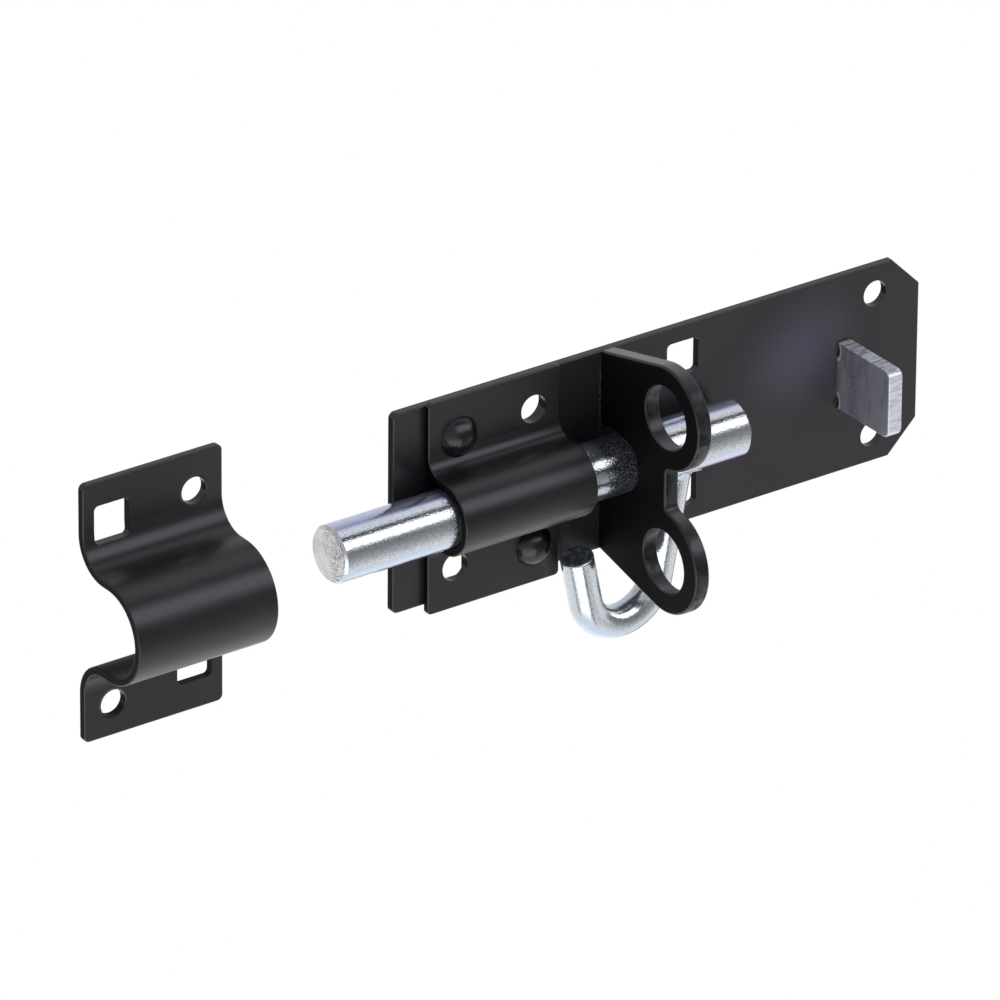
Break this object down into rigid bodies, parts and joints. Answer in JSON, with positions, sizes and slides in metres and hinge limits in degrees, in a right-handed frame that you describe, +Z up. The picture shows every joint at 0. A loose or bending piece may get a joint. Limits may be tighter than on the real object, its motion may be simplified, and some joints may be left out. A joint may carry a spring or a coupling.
{
  "type": "padbolt",
  "caption": "Gate padbolt: a round bolt slides and turns in a strap on a plate, its hook passes a notched two-eyed hasp, and a separate strap keep catches it.",
  "frame": {"origin": "middle of the back plate's back face, on the gate's surface", "axes": "+X along the bolt, away from the keep and towards the stop tab; +Y into the gate; +Z up"},
  "size_m": [0.2347, 0.0397, 0.0781],
  "materials": {
    "coated_steel": "satin charcoal-black powder coat",
    "zinc_steel": "bright zinc plating, lightly streaked, darker on the cut ends and near the weld"
  },
  "bodies": {
    "root": {"back_plate": "coated_steel", "bolt_saddle": "coated_steel", "rivet_upper": "coated_steel", "rivet_lower": "coated_steel", "hasp_plate": "coated_steel", "stop_tab": "zinc_steel", "keep": "coated_steel"},
    "bolt": {"bolt_rod": "zinc_steel"},
    "hook": {"hook_handle": "zinc_steel"}
  },
  "joints": [
    {"name": "bolt_slide", "type": "slide", "parent": "root", "child": "bolt", "axis": [1, 0, 0], "range_m": [-0.0045, 0.0052]},
    {"name": "bolt_turn", "type": "hinge", "parent": "bolt", "child": "hook", "pos_m": [-0.0004, -0.0098, 0], "axis": [-1, 0, 0], "range_deg": [0, 187]}
  ]
}
